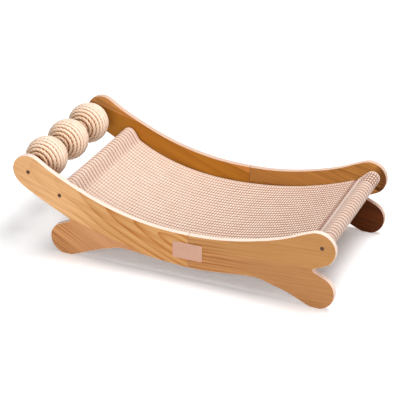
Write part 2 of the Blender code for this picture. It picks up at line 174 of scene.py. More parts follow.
def plain_material(name, roughness, *tones_and_width):
    """A material whose colour drifts between two tones, and no more."""
    material, add, shader, place = new_material(name, roughness)
    two_tone(add, shader, place, *tones_and_width)
    return material


print("a fibre of 1.5 mm is a noise of scale", round(1 / (1.5 * MM)))

# %% [markdown]
# ## Wood with its growth rings
#
# The boards are lacquered softwood. A tree's growth rings are long cylinders
# round its middle, the pith, so the figure on a stave is what a saw cut through
# such cylinders shows: straight lines where the cut runs with the pith, and long
# nested loops where the pith dips towards the face. The rings are drawn just so:
# coordinates are turned until X lies along the grain, tipped a few degrees, and
# measured from the pith. Each ring starts pale and soft and ends in a thin dark
# line, which is what a sawtooth raised to a power gives.

# %% A stave's figure
# At scale 1 the wave texture has a ring every 2 pi / 20 units.
WAVE_SCALE = 2 * pi / 20
RING_SHARPNESS = 3.5
PLAIN_FIGURE = 0.15
FIBRE_WIDTH = 1.6 * MM
FIBRE_STRENGTH = 0.6
STREAK_WIDTH = 9 * MM
STREAK_STRENGTH, STREAK_SHIFT = 1.5, -0.5
WOBBLE_WIDTH = 45 * MM
WOBBLE = 9 * MM
ALONG_GRAIN = (0.03, 1.0, 1.0)


def stave(add, place, grain, tilt, pith, ring, tones, figure, plain_end, figured_end):
    """Colour and fibre height of one stave. Grain and tilt are in degrees, pith is a
    point that the pith passes, ring is the rings' width, figure how strongly they show.
    From its plain end to its figured end, both along X, the stave gains rings and takes
    the deeper of its two pale tones."""
    turn = Euler((0.0, radians(grain), radians(tilt)))
    shift = -(turn.to_matrix() @ Vector(pith))
    along = add("ShaderNodeMapping", {"Vector": place, "Rotation": turn, "Location": shift})
    bend = stretched_noise(add, along, WOBBLE_WIDTH, (0.25, 1.0, 1.0), 1.5)
    centred = add("ShaderNodeVectorMath", (bend.outputs["Color"], (0.5, 0.5, 0.5)),
                  operation="SUBTRACT")
    swayed = add("ShaderNodeVectorMath", (centred, (0.0, WOBBLE, WOBBLE), along),
                 operation="MULTIPLY_ADD")
    rings = add("ShaderNodeTexWave", {"Vector": swayed, "Scale": WAVE_SCALE / ring},
                wave_type="RINGS", rings_direction="X", wave_profile="SAW")
    late = add("ShaderNodeMath", (rings.outputs["Fac"], RING_SHARPNESS), operation="POWER")
    level = add("ShaderNodeMapping",
                {"Vector": place, "Rotation": (0.0, radians(grain), 0.0)})
    streaks = stretched_noise(add, level, STREAK_WIDTH, ALONG_GRAIN)
    fibres = stretched_noise(add, level, FIBRE_WIDTH, ALONG_GRAIN)
    lengthwise = add("ShaderNodeSeparateXYZ", {0: place})
    gain = add("ShaderNodeMapRange",
               {"Value": lengthwise, "From Min": plain_end, "From Max": figured_end,
                "To Min": PLAIN_FIGURE}, interpolation_type="SMOOTHSTEP")
    shown = add("ShaderNodeMath", (gain, figure), operation="MULTIPLY")
    ringed = add("ShaderNodeMath", (late, shown), operation="MULTIPLY")
    streak, depth, fibred = (
        add("ShaderNodeMath", terms, operation="MULTIPLY_ADD")
        for terms in ((streaks, STREAK_STRENGTH, STREAK_SHIFT), (gain, 0.5, 0.5),
                      (fibres, FIBRE_STRENGTH, -FIBRE_STRENGTH / 2)))
    streaked = add("ShaderNodeMath", (streak, depth, ringed), operation="MULTIPLY_ADD")
    darkness = add("ShaderNodeMath", (streaked, fibred), operation="ADD", use_clamp=True)
    light, deep, dark = tones
    pale = add("ShaderNodeMix", {0: gain, MIX_FROM: light, MIX_TO: deep}, data_type="RGBA")
    colour = add("ShaderNodeMix", {0: darkness, MIX_FROM: pale, MIX_TO: dark}, data_type="RGBA")
    return colour, fibres


print("rings of 7 mm: wave scale", round(WAVE_SCALE / (7 * MM), 1))

# %% [markdown]
# ## Staves glued into boards
#
# Each board half is glued up from two staves, as wide softwood panels are, so a
# glue line crosses it and the grain changes there. The faces that look at the mat
# are darker than the outer faces, partly from darker staves and partly as painted
# shade; on the foot half the leg under the mat and the arm's tip by the foot roll
# are painted deep shade. The edges are routed after lacquering, so they stay pale
# and dry, apart from the head half's end at the seam, which is dark, and the far
# board's edges, which are painted a shade darker.

# %% Board and edge materials
NEAR, FAR = -1.0, 1.0


def board_material(name, pith_side, glue_point, glue_angle, upper, lower):
    """Lacquered board of two staves that meet at a glue line, given by a point (x, z)
    and its angle. The piths are given for the side of the bed that pith_side names, and
    the other side's board is its mirror image."""
    material, add, shader, place = new_material(name, 0.5)
    parts = add("ShaderNodeSeparateXYZ", {0: place}).outputs
    off_middle = add("ShaderNodeMath", (parts["Y"],), operation="ABSOLUTE")
    sided = add("ShaderNodeMath", (off_middle, pith_side), operation="MULTIPLY")
    place = add("ShaderNodeCombineXYZ", {"X": parts["X"], "Y": sided, "Z": parts["Z"]})
    slope = radians(glue_angle)
    across = Vector((-sin(slope), 0.0, cos(slope)))
    level = Vector((glue_point[0], 0.0, glue_point[1])).dot(across)
    height = add("ShaderNodeVectorMath", (place, across), operation="DOT_PRODUCT")
    above = add("ShaderNodeMath", (height, level), operation="GREATER_THAN")
    upper_colour, upper_fibres = stave(add, place, *upper)
    lower_colour, lower_fibres = stave(add, place, *lower)
    colour = add("ShaderNodeMix", {0: above, MIX_FROM: lower_colour, MIX_TO: upper_colour},
                 data_type="RGBA")
    fibres = add("ShaderNodeMix", {0: above, 2: lower_fibres, 3: upper_fibres})
    bump = add("ShaderNodeBump", {"Strength": 0.25, "Distance": 0.1 * MM, "Height": fibres})
    feed(shader, {"Base Color": colour, "Normal": bump, "Specular IOR Level": 0.12,
                  "Coat Weight": 0.02, "Coat Roughness": 0.35})
    return material


# Each stave: grain angle, tilt, a point of the pith, ring width, tones, figure, ends
WOOD = {
    "outer_head": board_material(
        "lacquered_pine_outer_head", NEAR, (-0.2257, 0.0860), -14.5,
        (-20.0, -13.0, (-0.050, -0.2005, 0.1080), 14 * MM, ("#E8B682", "#CC9B62", "#A8652A"),
         0.8, -0.260, -0.110),
        (-30.0, 1.5, (-0.250, -0.1900, 0.0900), 6 * MM, ("#C28C61", "#D39963", "#8A5026"),
         0.7, -0.170, -0.250)),
    "outer_foot": board_material(
        "lacquered_pine_outer_foot", NEAR, (0.1091, 0.0800), 3.0,
        (3.0, 1.0, (0.200, -0.2500, 0.2200), 8 * MM, ("#B5834E", "#C28E58", "#946030"),
         0.7, 0.200, 0.060),
        (3.0, 0.8, (0.200, -0.1700, 0.0900), 7 * MM, ("#B07D4E", "#C28B54", "#8A5028"),
         0.8, 0.220, 0.070)),
    # Inner faces: partly a darker, more saturated stave, partly painted shade, as the side towards
    # the mat lies in shade.
    "inner_head": board_material(
        "lacquered_pine_inner_head", FAR, (-0.3324, 0.1960), -15.3,
        (-18.0, 1.5, (-0.300, 0.1900, 0.2100), 7 * MM, ("#CB843C", "#E3A25C", "#94521F"),
         0.6, -0.200, -0.300),
        (-22.0, 2.0, (-0.100, 0.2100, 0.1000), 10 * MM, ("#B87826", "#B47524", "#8E5418"),
         0.4, -0.300, -0.100)),
    # Its deep and dark tones are painted shade: the leg under the mat and the arm's tip beside the
    # foot roll darken towards +X.
    "inner_foot": board_material(
        "lacquered_pine_inner_foot", FAR, (0.3230, 0.0880), 3.0,
        (-14.0, 1.5, (0.200, 0.1900, 0.1500), 4 * MM, ("#CE9048", "#7E4C22", "#5E320F"),
         3.4, 0.334, 0.358),
        (-10.0, 1.0, (0.300, 0.1900, 0.0600), 9 * MM, ("#B8793A", "#5E2A02", "#3A1600"),
         0.6, 0.110, 0.270)),
}
EDGE_GRAIN = (4 * MM, (0.06, 1.0, 0.3))
# The far edges are the same sanded pine, painted darker as shade.
EDGES = {"near": plain_material("sanded_pine_edge_near", 0.6, "#F4DCCF", "#E8C7B4", *EDGE_GRAIN),
         "far": plain_material("sanded_pine_edge_far", 0.6, "#D9BBA8", "#C6A18C", *EDGE_GRAIN)}
DARK_SEAM_END = plain_material("sealed_pine_end", 0.6, "#7E4E28", "#5F3A1C", *EDGE_GRAIN)
print("wood:", [material.name for material in (*WOOD.values(), *EDGES.values(), DARK_SEAM_END)])

# %% [markdown]
# ## The side boards' outline
#
# A side board is one flat shape, sawn from a 12 mm panel. The frame already holds
# that outline as short straight runs, so it is read from there and not drawn
# again: the rim of each half is walked from corner to corner, from the seam's top
# round to its bottom, and the two walks are joined.

# %% Read the outline from the frame
EDGE_ROUND = 1.5 * MM
SEAM_EASE = 0.5 * MM
TOUCH = 0.05 * MM
head_half, foot_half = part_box("near_board_head_half"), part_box("near_board_foot_half")
near_face = head_half[0].y
BOARD_THICKNESS = head_half[1].y - near_face
SEAM_X = (head_half[1].x + foot_half[0].x) / 2
SEAM_GAP = foot_half[0].x - head_half[1].x


def rim_of(node, rim_y):
    """A board half's outline, from the seam's top round to its bottom, as (x, z) corners."""
    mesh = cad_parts[node].data
    places = [vertex.co for vertex in mesh.vertices]
    beside = {}
    for edge in mesh.edges:
        ends = [places[number] for number in edge.vertices]
        on_rim = all(abs(end.y - rim_y) < TOUCH for end in ends)
        on_seam = all(abs(end.x - SEAM_X) < SEAM_GAP for end in ends)
        if on_rim and not on_seam:
            one, other = [(round(end.x, 6), round(end.z, 6)) for end in ends]
            beside.setdefault(one, set()).add(other)
            beside.setdefault(other, set()).add(one)
    tips = [corner for corner in beside if len(beside[corner]) == 1]
    walk = [max(tips, key=lambda corner: corner[1])]
    while True:
        onward = [corner for corner in beside[walk[-1]] if corner not in walk[-2:]]
        if not onward:
            return walk
        walk.append(onward[0])


head_rim = rim_of("near_board_head_half", near_face + EDGE_ROUND)
foot_rim = rim_of("near_board_foot_half", near_face + EDGE_ROUND)
outline = head_rim[-2:0:-1] + foot_rim[1:-1]
print("outline:", len(outline), "corners, seam at", round(SEAM_X / MM, 1), "mm")

# %% [markdown]
# ## Tools for modelling
#
# Modelling operators work on whatever is active and selected. These helpers set
# that up in one line, so each piece below is the same short list of steps as by
# hand: add, enter edit mode, select, extrude, bevel.

# %% Editing helpers
FACING = 0.9


def only(piece):
    """Deselect everything else and make this piece the active one."""
    bpy.ops.object.select_all(action="DESELECT")
    piece.select_set(True)
    bpy.context.view_layer.objects.active = piece
    return piece


def place_new(name, data):
    """Put new data into the scene, as the active object."""
    piece = bpy.data.objects.new(name, data)
    bpy.context.scene.collection.objects.link(piece)
    return only(piece)


def new_curve(name, dimensions, kind, count):
    """A curve with one spline of a number of points. Gives both, and the points."""
    line = bpy.data.curves.new(name, "CURVE")
    line.dimensions = dimensions
    spline = line.splines.new(kind)
    points = spline.bezier_points if kind == "BEZIER" else spline.points
    points.add(count - 1)
    return line, spline, points


def edit(piece):
    """Enter edit mode with the whole piece selected."""
    only(piece)
    bpy.ops.object.mode_set(mode="EDIT")
    bpy.ops.mesh.select_all(action="SELECT")


def select_faces(piece, wanted):
    """In edit mode, select just the faces that a test wants."""
    bpy.ops.mesh.select_mode(type="FACE")
    bpy.ops.mesh.select_all(action="DESELECT")
    bm = bmesh.from_edit_mesh(piece.data)
    for face in bm.faces:
        face.select_set(wanted(face))
    bmesh.update_edit_mesh(piece.data)


def extrude(distance):
    """In edit mode, extrude the selection along Y."""
    bpy.ops.mesh.extrude_region_move(TRANSFORM_OT_translate={"value": (0.0, distance, 0.0)})


def bevel_rims(width, segments):
    """In edit mode, bevel the rim of the selected faces."""
    bpy.ops.mesh.region_to_loop()
    bpy.ops.mesh.bevel(offset=width, segments=segments, affect="EDGES")


def normals_outward():
    """In edit mode, make every normal point outward."""
    bpy.ops.mesh.select_all(action="SELECT")
    bpy.ops.mesh.normals_make_consistent(inside=False)


print("a face looks along an axis when its normal is over", FACING, "that way")

# %% [markdown]
# ## Sawing the board
#
# A bandsaw leaves one smooth curve where the frame has short runs. A Bezier curve
# with automatic handles makes the outline smooth again, and the flats under the
# legs keep straight handles. From there it is ordinary edit-mode work: fill,
# extrude to the board's thickness and round the two rims.


# %% Saw the board and round its rims
def whole_board():
    """The near side board in one piece, with rounded rims."""
    line, spline, points = new_curve("board_outline", "3D", "BEZIER", len(outline))
    line.resolution_u = 3
    spline.use_cyclic_u = True
    for point, (x, z) in zip(points, outline):
        point.co = (x, near_face, z)
        point.handle_left_type = point.handle_right_type = "VECTOR" if z < TOUCH else "AUTO"
    board = place_new("board", line)
    bpy.ops.object.convert(target="MESH")
    edit(board)
    bpy.ops.mesh.edge_face_add()
    extrude(BOARD_THICKNESS)
    normals_outward()
    select_faces(board, lambda face: abs(face.normal.y) > FACING)
    bevel_rims(EDGE_ROUND, 3)
    bpy.ops.object.mode_set(mode="OBJECT")
    return board


board = whole_board()
print("board:", len(board.data.polygons), "faces")

# %% [markdown]
# ## Halves and screw holes
#
# The board is cut at its seam, because two short halves are easier to saw and to
# pack than one long board, and the two new edges are eased. Each screw hole is a
# shank hole with a cone that opens to the outer face, so one drill-shaped solid is
# taken away from the board. The far board is the near one's mirror image.

# %% Cut the halves and countersink them
HEAD_MOUTH = 4.75 * MM
SHANK_HOLE = 2.95 * MM
MOUTH_DEPTH = 0.3 * MM
CONE_DEPTH = 2.1 * MM
OVERSHOOT = 1 * MM
screw_holes = []


def middle_of(node):
    """The middle of a node's box, as x, y and z."""
    return [(low + high) / 2 for low, high in zip(*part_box(node))]


def finish_editing():
    """Make every normal point outward and leave edit mode."""
    normals_outward()
    bpy.ops.object.mode_set(mode="OBJECT")


def apply_modifier(piece, kind, **settings):
    """Add a modifier, set it and apply it."""
    only(piece)
    modifier = piece.modifiers.new(kind, kind)
    for name, value in settings.items():
        setattr(modifier, name, value)
    bpy.ops.object.modifier_apply(modifier=modifier.name)


def half_of(whole, name, away):
    """One half of a board, cut at the seam, with the seam's edges eased. The half lies
    towards -X from the seam where away is -1, and towards +X where it is 1."""
    half = place_new(name, whole.data.copy())
    edit(half)
    bpy.ops.mesh.bisect(plane_co=(SEAM_X + away * SEAM_GAP / 2, 0.0, 0.0),
                        plane_no=(-away, 0.0, 0.0), use_fill=True, clear_outer=True)
    select_faces(half, lambda face: abs(face.normal.x) > FACING
                 and abs(face.calc_center_median().x - SEAM_X) < SEAM_GAP)
    bevel_rims(SEAM_EASE, 1)
    bpy.ops.object.mode_set(mode="OBJECT")
    return half


def countersink(half, screw_node):
    """Cut the hole for a screw: a shank hole, then a cone that opens to the outer face."""
    x, _, z = middle_of(screw_node)
    screw_holes.append((x, z))
    inside = near_face + BOARD_THICKNESS + OVERSHOOT
    waist = near_face + CONE_DEPTH
    bpy.ops.mesh.primitive_cylinder_add(
        vertices=40, radius=SHANK_HOLE, depth=inside - waist,
        location=(x, (inside + waist) / 2, z), rotation=(pi / 2, 0.0, 0.0))
    drill = bpy.context.object
    bpy.ops.object.transform_apply()
    bpy.ops.object.mode_set(mode="EDIT")
    select_faces(drill, lambda face: face.normal.y < -FACING)
    wider = HEAD_MOUTH / SHANK_HOLE
    extrude(MOUTH_DEPTH - CONE_DEPTH)
    bpy.ops.transform.resize(value=(wider, 1.0, wider), center_override=(x, near_face, z))
    extrude(-MOUTH_DEPTH - OVERSHOOT)
    bpy.ops.object.mode_set(mode="OBJECT")
    apply_modifier(half, "BOOLEAN", operation="DIFFERENCE", solver="EXACT", object=drill)
    bpy.data.objects.remove(drill)


def mirrored(half, name):
    """The same half for the far side, mirrored through the middle of the bed."""
    twin = place_new(name, half.data.copy())
    twin.scale.y = -1.0
    bpy.ops.object.transform_apply()
    edit(twin)
    finish_editing()
    return twin


near_head = half_of(board, "near_head_board", -1.0)
near_foot = half_of(board, "near_foot_board", 1.0)
bpy.data.objects.remove(board)
countersink(near_head, "near_axle_screw")
countersink(near_head, "near_head_rail_screw")
countersink(near_foot, "near_foot_rail_screw")
halves = (near_head, near_foot, mirrored(near_head, "far_head_board"),
          mirrored(near_foot, "far_foot_board"))
print("screw holes:", [(round(x / MM, 1), round(z / MM, 1)) for x, z in screw_holes], "mm")

# %% [markdown]
# ## Lacquer and sanded edges
#
# The two faces and the walls of the screw holes are lacquered, the rims are sanded
# bare, on the far board painted a shade darker, and the head half's end at the seam
# is dark. Which finish a face takes follows from where it looks. Weighted normals
# keep the large flat faces flat while the rounded rims shade smoothly.

# %% Finish the boards
LACQUER_TURN = 0.8
SEAM_TURN = 0.5
OUTER, INNER, EDGE, DARK_END = range(4)


def smooth_by_angle(piece, degrees):
    """Shade smooth, with sharp edges where the surface turns by more than some degrees."""
    only(piece)
    bpy.ops.object.shade_smooth_by_angle(angle=radians(degrees))


def dress(piece, body, slot_name, *nodes):
    """Tell the frame what a finished piece rides on and stands for. What it is made of, the slot
    name, is not used.
    """
    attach(piece, body)
    if nodes:
        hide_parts(*nodes)


def finish_of(face, outward):
    """Which of a board's four finishes a face takes."""
    facing = face.normal.y * outward
    at_seam = face.normal.x > SEAM_TURN and abs(face.center.x - SEAM_X) < SEAM_EASE + SEAM_GAP
    in_hole = any(hypot(face.center.x - x, face.center.z - z) < HEAD_MOUTH + TOUCH
                  for x, z in screw_holes)
    if at_seam:
        return DARK_END
    if facing > LACQUER_TURN or in_hole:
        return OUTER
    return INNER if facing < -LACQUER_TURN else EDGE


for half in halves:
    side, end, kind = half.name.split("_")
    half.data.materials.clear()
    for finish in (WOOD[f"outer_{end}"], WOOD[f"inner_{end}"], EDGES[side], DARK_SEAM_END):
        half.data.materials.append(finish)
    for face in half.data.polygons:
        face.material_index = finish_of(face, NEAR if side == "near" else FAR)
    smooth_by_angle(half, 35)
    apply_modifier(half, "WEIGHTED_NORMAL", keep_sharp=True)
    dress(half, "frame", "wood", f"{side}_{kind}_{end}_half")
    print(half.name, len(half.data.polygons), "faces")

# %% [markdown]
# ## The patch over the seam
#
# A small bare rounded patch covers the seam of the near board. It is a plane
# with its corners rounded in edit mode, extruded 2 mm and eased along its rim.
# Its surface is matt and finely grained, like tanned hide, and its rim is painted paler, as a
# highlight.

# %% Make the patch
PATCH_CORNER = 3 * MM
PATCH_EASE = 0.8 * MM
HIDE_CLOUD = 14 * MM
HIDE_GRAIN = 1.1 * MM


def patch_material(name, light, dark):
    """Tanned hide: soft clouds of colour and a grain of small cells."""
    material, add, shader, place = new_material(name, 0.62)
    two_tone(add, shader, place, light, dark, HIDE_CLOUD)
    grain = add("ShaderNodeTexVoronoi", {"Vector": place, "Scale": 1 / HIDE_GRAIN})
    bump = add("ShaderNodeBump", {"Strength": 0.3, "Distance": 0.08 * MM, "Height": grain})
    feed(shader, {"Normal": bump})
    return material


low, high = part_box("seam_patch")
x, _, z = middle_of("seam_patch")
bpy.ops.mesh.primitive_plane_add(size=1.0, location=(x, high.y, z),
                                 rotation=(pi / 2, 0.0, 0.0))
patch = bpy.context.object
patch.name = "bare_patch"
patch.scale = (high.x - low.x, high.z - low.z, 1.0)
bpy.ops.object.transform_apply()
edit(patch)
bpy.ops.mesh.bevel(offset=PATCH_CORNER, segments=8, affect="VERTICES")
extrude(low.y - high.y)
bevel_rims(PATCH_EASE, 3)
finish_editing()
patch.data.materials.append(patch_material("tanned_hide_patch", "#C69B84", "#B48670"))
# The rim's paler colour is a painted highlight.
patch.data.materials.append(patch_material("worn_patch_rim", "#E9C8B8", "#D9B3A0"))
for face in patch.data.polygons:
    face.material_index = 0 if face.normal.y < -FACING else 1
smooth_by_angle(patch, 35)
dress(patch, "frame", "patch", "seam_patch")
print("patch:", len(patch.data.polygons), "faces")

# %% [markdown]
# ## The mat's path
#
# The mat is one strip of thick woven sisal. Seen from the side, it starts as a
# hem under the sheet, runs out to the head rail and round it, comes back over
# its own hem, sags to the foot rail and does the same there. A line of stitches
# closes each pocket, and at the foot it pulls a groove into the cloth. The strip's
# outer surface is laid out here as a line of evenly spaced points with their normals.

# %% Lay out the mat's side view
CLOTH = 3 * MM
CLOTH_LAYER = 2.6 * MM
RAIL_SLACK = 0.4 * MM
POCKET = (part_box("head_rail")[1].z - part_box("head_rail")[0].z) / 2 + RAIL_SLACK
HEM = 12 * MM
# Which way the sheet leaves each rail and how fast its pocket narrows, in degrees
PULLS = {"head_rail": (-30.0, 28.5), "foot_rail": (202.6, 21.0)}
SAG_REACH = {"head_rail": 150 * MM, "foot_rail": 185 * MM}
ROLL_STEPS = 40
SAG_POINTS = 120
SMOOTHINGS = 6
ROW, ROW_STEPS = 6 * MM, 4
PATH_STEP = ROW / ROW_STEPS


def toward(degrees):
    return Vector((cos(radians(degrees)), sin(radians(degrees))))


def pocket_line(rail):
    """From the hem's end round the rail to the groove above it, then the sag's handle."""
    pull, taper = PULLS[rail]
    middle = Vector(middle_of(rail)[::2])
    along = toward(pull)
    sign = copysign(1.0, along.x)
    up = toward(pull + 90.0 * sign)
    outer = POCKET + CLOTH
    slope = radians(taper)
    meet = middle + along * (outer / cos(slope) - CLOTH) / tan(slope)
    opening = (90.0 - taper) * sign
    line = [meet + HEM * along - CLOTH * up, meet - CLOTH * up]
    for number in range(ROLL_STEPS + 1):
        angle = pull - opening - (360.0 * sign - 2 * opening) * number / ROLL_STEPS
        line.append(middle + outer * toward(angle))
    line.append(meet + CLOTH * up)
    end = meet + HEM * along
    return line, end, up, end + SAG_REACH[rail] * along, meet


head_line, head_end, head_up, head_handle, head_meet = pocket_line("head_rail")
foot_line, foot_end, foot_up, foot_handle, foot_meet = pocket_line("foot_rail")
underside = [point.to_2d() for point in
             interpolate_bezier(head_end, head_handle, foot_handle, foot_end, SAG_POINTS)]
lifted = []
for before, point, after in zip(underside, underside[1:], underside[2:]):
    forward = (after - before).normalized()
    lifted.append(point + CLOTH * Vector((-forward.y, forward.x)))
corners = head_line + [head_end + CLOTH * head_up] + lifted + [foot_end + CLOTH * foot_up]
corners += foot_line[::-1]


def evenly(points, step):
    """The same line with a point every step."""
    line = np.array([tuple(point) for point in points])
    travel = np.concatenate([[0.0], np.cumsum(np.linalg.norm(np.diff(line, axis=0), axis=1))])
    where = np.linspace(0.0, travel[-1], round(travel[-1] / step) + 1)
    return np.stack([np.interp(where, travel, line[:, axis]) for axis in (0, 1)], axis=1)


path = evenly(corners, PATH_STEP)
for _ in range(SMOOTHINGS):
    path[1:-1] = path[:-2] * 0.25 + path[1:-1] * 0.5 + path[2:] * 0.25
ahead = np.gradient(path, axis=0)
ahead /= np.linalg.norm(ahead, axis=1)[:, None]
outward = np.stack([-ahead[:, 1], ahead[:, 0]], axis=1)
MAT_LENGTH = (len(path) - 1) * PATH_STEP
print("mat strip:", round(MAT_LENGTH / MM), "mm long")

# %% [markdown]
# ## The weave's relief
#
# Thick cream sisal yarn lies in ribs, and thin brown yarn ties it down every
# few millimetres, so the cloth is a field of soft cream nubs over a brown grid.
# The relief is real, because its shadows are what makes it look coarse, and one
# formula gives the height of every point. Round the rails the ties sink into the
# stretched ribs. The two long edges are bound with thread and have no nubs.

# %% The height of the weave
MAT_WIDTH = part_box("sisal_mat")[1].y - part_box("sisal_mat")[0].y
BINDING = 3.0 * MM
RIBS = 28
RIB = (MAT_WIDTH - 2 * BINDING) / RIBS
NUB_HEIGHT = 1.1 * MM
NUB_LEVEL = 0.85
TIE_CUT, ROLL_TIE_RISE = 0.75, 0.35
UNEVEN = 0.12
UNEVEN_WAVES = ((41.0, 23.0), (17.0, -57.0))
BINDING_DROP, BINDING_ROUND = 0.9 * MM, 1.6 * MM
UNDER_EASE = 0.7 * MM
GROOVE_WIDTH = 3.5 * MM
GROOVE_DEPTH = 1.3 * MM
HEM_WIDTH = 15 * MM
HEM_RELIEF = 0.4
ROLL_REACH, ROLL_FADE = 34 * MM, 10 * MM
FREE_START, FREE_SHARE = 0.16, 0.68
EDGE_CURL, RIPPLE = 1.4 * MM, 0.5 * MM
RIPPLE_WAVES = (9.0, 20.0)


def rail_closeness():
    """For each point of the path, 1 on a rail's roll and 0 on the sheet, eased between."""
    close = np.zeros(len(path))
    for rail in PULLS:
        distance = np.linalg.norm(path - np.array(middle_of(rail)[::2]), axis=1)
        close = np.maximum(close, np.clip((ROLL_REACH - distance) / ROLL_FADE, 0.0, 1.0))
    return close


def nearest_on_path(meet, up):
    """The number of the path's point where a pocket's groove lies."""
    return np.argmin(np.linalg.norm(path - np.array(meet + CLOTH * up), axis=1))


def weave_lift(travel, y, outer, roll, past):
    """How far each point is pushed out of the path, from its distance along the strip,
    its place across, its side, its share of the roll and its distance past the groove."""
    from_edge = MAT_WIDTH / 2 - np.abs(y)
    in_weave = (np.abs(y) < MAT_WIDTH / 2 - BINDING + TOUCH) & outer
    rib = 0.5 - 0.5 * np.cos(2 * pi * (y + MAT_WIDTH / 2 - BINDING) / RIB)
    tie = 0.5 - 0.5 * np.cos(2 * pi * travel / ROW)
    nub = np.sqrt(rib) * (1.0 - (TIE_CUT - ROLL_TIE_RISE * roll) * (1.0 - tie))
    uneven = np.prod([np.sin(travel * a + y * b) for a, b in UNEVEN_WAVES], axis=0)
    lift = (nub - NUB_LEVEL) * NUB_HEIGHT * (1.0 + UNEVEN * uneven)
    rounded = np.clip(1.0 - from_edge / BINDING_ROUND, 0.0, 1.0) ** 2
    lift = np.where(in_weave, lift, -BINDING_DROP * rounded)
    lift = np.where(outer, lift, -CLOTH_LAYER)
    lift = np.where(~outer & (from_edge < TOUCH), UNDER_EASE - CLOTH_LAYER, lift)
    lift = np.where(in_weave & (past > 0.0) & (past < HEM_WIDTH), lift * HEM_RELIEF, lift)
    sewn = np.clip(1.0 - np.abs(past) / GROOVE_WIDTH, 0.0, 1.0)
    return np.where(outer, lift - GROOVE_DEPTH * sewn ** 2 * (3 - 2 * sewn), lift)


def ripple(travel, y):
    """A free edge between the rails never hangs quite even with the middle of the sheet."""
    share = np.clip((travel / MAT_LENGTH - FREE_START) / FREE_SHARE, 0.0, 1.0)
    curl = EDGE_CURL * (np.abs(y) / (MAT_WIDTH / 2)) ** 3
    wavy = RIPPLE * np.sin(share * RIPPLE_WAVES[0] + y * RIPPLE_WAVES[1])
    return np.sin(pi * share) ** 2 * (curl + wavy)


print("weave:", RIBS, "ribs,", round(RIB / MM, 1), "mm apart, ties", round(ROW / MM, 1), "mm apart")

# %% [markdown]
# ## The woven mat
#
# One grid is wrapped round the strip's section, fine on the outer side and
# coarse on the inner one, which nobody sees. Every point goes to its place on the
# path, pushed out by the weave's height. Each keeps its distance along the strip
# and across it as a UV map in metres, so the colours can follow the yarns.

# %% Weave the mat
RIB_STEPS = 5
INNER_COLUMNS = 8
BINDING_STEPS = (0.0, 0.25 * MM, 0.8 * MM, 1.6 * MM, 2.4 * MM)
WELD = 0.01 * MM


def places_of(mesh):
    """The places of a mesh's points, as an array of rows."""
    flat = np.empty(len(mesh.vertices) * 3)
    mesh.vertices.foreach_get("co", flat)
    return flat.reshape(-1, 3)


def mark(mesh, name, values):
    """Note a value for each point of a mesh, for its material to read."""
    marks = mesh.attributes.new(name, "FLOAT", "POINT")
    marks.data.foreach_set("value", values.astype(np.float32))


def across_places():
    """The columns of the strip's outer side, from the near edge to the far one."""
    edge = [-MAT_WIDTH / 2 + step for step in BINDING_STEPS]
    weave = np.linspace(-MAT_WIDTH / 2 + BINDING, MAT_WIDTH / 2 - BINDING, RIBS * RIB_STEPS + 1)
    return np.concatenate([edge, weave, [-place for place in edge[::-1]]])


def woven_strip():
    """The mat as one closed mesh, with its length and width as a UV map in metres."""
    outer_y = across_places()
    inner_y = np.linspace(MAT_WIDTH / 2, -MAT_WIDTH / 2, INNER_COLUMNS + 1)
    columns = np.concatenate([outer_y, inner_y, outer_y[:1]])
    is_outer = np.concatenate([np.ones(len(outer_y)), np.zeros(len(inner_y)), [1.0]]) > 0.5
    rows = len(path)
    bpy.ops.mesh.primitive_grid_add(x_subdivisions=rows - 1, y_subdivisions=len(columns) - 1,
                                    size=1.0)
    strip = bpy.context.object
    strip.name = "woven_mat"
    mesh = strip.data
    flat = places_of(mesh) + 0.5
    row = np.rint(flat[:, 0] * (rows - 1)).astype(int)
    column = np.rint(flat[:, 1] * (len(columns) - 1)).astype(int)
    travel = row * PATH_STEP
    y = columns[column]
    roll = rail_closeness()[row]
    past = (row - nearest_on_path(foot_meet, foot_up)) * PATH_STEP
    lift = weave_lift(travel, y, is_outer[column], roll, past) + ripple(travel, y)
    place = path[row] + outward[row] * lift[:, None]
    mesh.vertices.foreach_set("co", np.stack([place[:, 0], y, place[:, 1]], axis=1).ravel())
    corner = np.empty(len(mesh.loops), dtype=np.int32)
    mesh.loops.foreach_get("vertex_index", corner)
    weave_map = mesh.uv_layers[0]
    weave_map.name = "weave"
    weave_map.data.foreach_set("uv", np.stack([travel[corner], y[corner]], axis=1).ravel())
    mark(mesh, "on_roll", roll)
    mark(mesh, "past_groove", past)
    edit(strip)
    bpy.ops.mesh.remove_doubles(threshold=WELD)
    bpy.ops.mesh.select_all(action="DESELECT")
    bpy.ops.mesh.select_mode(type="EDGE")
    bpy.ops.mesh.select_non_manifold()
    bpy.ops.mesh.fill_holes(sides=0)
    finish_editing()
    return strip


mat = woven_strip()
print("mat:", len(mat.data.polygons), "faces")

# %% [markdown]
# ## The yarns' patterns
#
# The colour of the weave follows the same ribs and rows as its relief. A few small
# patterns are all it takes: a wave that is dark in the hollows, a band between
# two distances, and a value that changes on the way from head to foot.

# %% Patterns for the weave
BAND_EASE = 0.4 * MM
HEAD_PART, FOOT_PART = 0.25 * MAT_LENGTH, 0.75 * MAT_LENGTH


def wave(add, distance, pitch, start=0.0):
    """0 in the hollows, 1 on the crowns, of a rib or a row."""
    phase = add("ShaderNodeMath", (distance, pi / pitch, start), operation="MULTIPLY_ADD")
    swing = add("ShaderNodeMath", (phase,), operation="SINE")
    return add("ShaderNodeMath", (swing,), operation="ABSOLUTE")


def band(add, distance, start, stop):
    """1 between two distances and 0 outside, with soft ends."""
    off = add("ShaderNodeMath", (distance, (start + stop) / 2), operation="SUBTRACT")
    away = add("ShaderNodeMath", (off,), operation="ABSOLUTE")
    half = (stop - start) / 2
    return add("ShaderNodeMapRange",
               {"Value": away, "From Min": half + BAND_EASE, "From Max": half - BAND_EASE},
               interpolation_type="SMOOTHSTEP")


